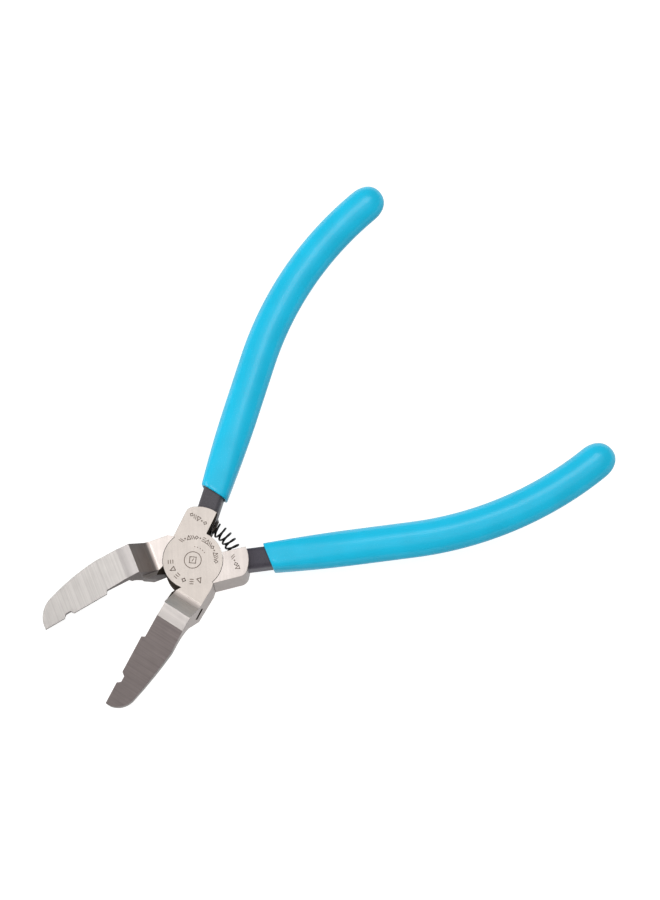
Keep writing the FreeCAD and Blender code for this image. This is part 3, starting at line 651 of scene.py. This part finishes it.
# The arc on the handles' side of the disc, the one on the jaws' side, and the line width in the middle.
HANDLE_ARC = ["diamond", "slants", "wedge", "dot", "diamond", "slants", "wedge", "rows", "dot", "diamond"]
HANDLE_ARC += ["slants", "wedge", "dot", "slants"]
JAW_ARC = ["rows", "wedge", "rows", "diamond", "rows", "wedge"]
MIDDLE_LINE = 0.24
# Per block: (y of the row's middle in the half frame, its shapes).
BLOCK_ROWS = {
    "upper": (-5.6, ["diamond", "slants", "wedge", "dot", "diamond"]),
    "lower": (-5.4, ["wedge", "diamond", "dot", "slants"]),
}
BLOCK_ROW_X, BLOCK_ROW_STEP = -11.4, 1.2
SMALL_MARK, LARGE_MARK = 1.45, 1.7


def disc_marks(material):
    """Two arcs of plain shapes round the disc, and in its middle a ring with a square and a row of dots."""
    marks = Marks()
    arc_marks(marks, HANDLE_ARC, middle=198, sweep=124, orbit=6.95, size=SMALL_MARK)
    arc_marks(marks, JAW_ARC, middle=17, sweep=104, orbit=6.6, size=LARGE_MARK)
    marks.ring((0, 0), radius=2.5, width=MIDDLE_LINE)
    marks.frame((0, 0), math.radians(45), length=2.1, height=2.1, width=MIDDLE_LINE)
    marks.bar((0, 0), math.radians(20), length=1.0, width=MIDDLE_LINE)
    arc_marks(marks, ["dot"] * 5, middle=198, sweep=50, orbit=4.1, size=0.9)
    marks.finish("upper_disc_marks", "upper", material)


def block_marks(material):
    """A short row of plain shapes across each block."""
    for body, side in SIDES.items():
        middle, kinds = BLOCK_ROWS[body]
        marks = Marks()
        place = row_matrix(side)
        for i, kind in enumerate(kinds):
            shift = (i - (len(kinds) - 1) / 2) * BLOCK_ROW_STEP
            spot = place @ Vector((BLOCK_ROW_X, middle + shift, 0)) / MM
            marks.shape(kind, spot.to_2d(), math.radians(side * HALF_OPENING), SMALL_MARK)
        marks.finish(f"{body}_block_marks", body, material)


# ---- studio ------------------------------------------------------------------------------------------

CAMERA_AZIMUTH, CAMERA_ELEVATION, CAMERA_ROLL = 53.752, 73.173, -3.475
CAMERA_AIM, CAMERA_DISTANCE = Vector((-0.05130, 0.00197, 0.02019)), 0.76986  # metres
LENS, SENSOR = 104.0, 36.0
# Softboxes: (name, azimuth, elevation, (width, height) in metres, watts), all aimed at one point.
SOFTBOXES = [
    ("key", 205, 66, (0.4, 0.4), 1.15),
    ("fill", -42, 30, (0.45, 0.38), 1.5),
    ("top", 352, 63, (0.2, 0.16), 0.35),
]
SOFTBOX_AIM, SOFTBOX_DISTANCE = Vector((-0.04, 0, 0.006)), 0.8
FLOOR_REACH, FLOOR_GREY, FLOOR_GLOW = 3.0, 0.45, 0.85  # metres each way, base colour, emission
# The world's strength rises from low to high between two heights of the direction looked in.
WORLD_FALL = {"From Min": 0.68, "From Max": 0.88, "To Min": 0.26, "To Max": 0.95}


def direction(azimuth, elevation):
    """The unit vector towards a point of the sky."""
    a, e = math.radians(azimuth), math.radians(elevation)
    return Vector((math.cos(e) * math.cos(a), math.cos(e) * math.sin(a), math.sin(e)))


def facing(place, aim, roll=0.0):
    """A placement whose -Z looks from place to aim, up kept upright, then rolled."""
    back = (place - aim).normalized()
    right = Vector((0, 0, 1)).cross(back).normalized()
    up = back.cross(right)
    turn = Matrix((right, up, back)).transposed().to_4x4()
    return Matrix.Translation(place) @ turn @ Matrix.Rotation(math.radians(roll), 4, "Z")


def add_camera():
    data = bpy.data.cameras.new("camera")
    data.lens = LENS
    data.sensor_width = SENSOR
    data.clip_start, data.clip_end = 0.01, 20.0
    camera = bpy.data.objects.new("camera", data)
    place = CAMERA_AIM + direction(CAMERA_AZIMUTH, CAMERA_ELEVATION) * CAMERA_DISTANCE
    camera.matrix_world = facing(place, CAMERA_AIM, CAMERA_ROLL)
    bpy.context.scene.collection.objects.link(camera)
    bpy.context.scene.camera = camera


def add_softbox(name, azimuth, elevation, size, power):
    data = bpy.data.lights.new(name, "AREA")
    data.shape = "RECTANGLE"
    data.size, data.size_y = size
    data.energy = power
    light = bpy.data.objects.new(name, data)
    place = SOFTBOX_AIM + direction(azimuth, elevation) * SOFTBOX_DISTANCE
    light.matrix_world = facing(place, SOFTBOX_AIM)
    bpy.context.scene.collection.objects.link(light)


def add_floor():
    """A floor that glows as white as the background, so only a faint shadow shows on it."""
    nodes = Nodes("floor_white")
    speck = nodes.noise(nodes.place(), 0.05)
    nodes.set(Base_Color=colour_between(nodes, speck, (FLOOR_GREY,) * 3, 0.995, 1.0))
    nodes.set(Roughness=0.9)
    nodes.set(Emission_Color=(1, 1, 1, 1), Emission_Strength=FLOOR_GLOW)
    corners = [(x * FLOOR_REACH, y * FLOOR_REACH, cad_box[0].z) for x, y in CORNERS]
    floor = add_mesh("floor", corners, [(0, 1, 2, 3)], [nodes.material], smooth=False)


def add_world():
    """White behind the object; what the steel reflects falls from white overhead to grey lower down."""
    world = bpy.data.worlds.new("studio")
    world.use_nodes = True
    tree = world.node_tree
    background = tree.nodes["Background"]
    background.inputs["Color"].default_value = (1, 1, 1, 1)
    where, height, fall, path, white = (
        tree.nodes.new("ShaderNode" + kind)
        for kind in ("TexCoord", "SeparateXYZ", "MapRange", "LightPath", "Mix")
    )
    for key, value in WORLD_FALL.items():
        fall.inputs[key].default_value = value
    white.inputs["B"].default_value = 1.0
    tree.links.new(where.outputs["Generated"], height.inputs["Vector"])
    tree.links.new(height.outputs["Z"], fall.inputs["Value"])
    tree.links.new(path.outputs["Is Camera Ray"], white.inputs["Factor"])
    tree.links.new(fall.outputs["Result"], white.inputs["A"])
    tree.links.new(white.outputs["Result"], background.inputs["Strength"])
    bpy.context.scene.world = world
    bpy.context.scene.view_settings.view_transform = "Standard"


def main():
    dress_half("upper_half", UPPER)
    dress_half("lower_half", LOWER)
    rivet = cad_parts["pivot_rivet"]
    rivet.data.materials.clear()
    rivet.data.materials.append(steel("rivet_ground", "C4BCB6", 0.4, UPPER, grain=(3.0, 3.0)))
    blue, dark = vinyl(), dark_gap()
    for body, side in SIDES.items():
        grip = make_grip(f"{body}_sleeve", side, blue, dark)
        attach(grip, body)
        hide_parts(f"{body}_grip")
    make_spring(spring_black())
    etch = etched()
    disc_marks(etch)
    block_marks(etch)
    add_world()
    add_floor()
    for softbox in SOFTBOXES:
        add_softbox(*softbox)
    add_camera()


main()
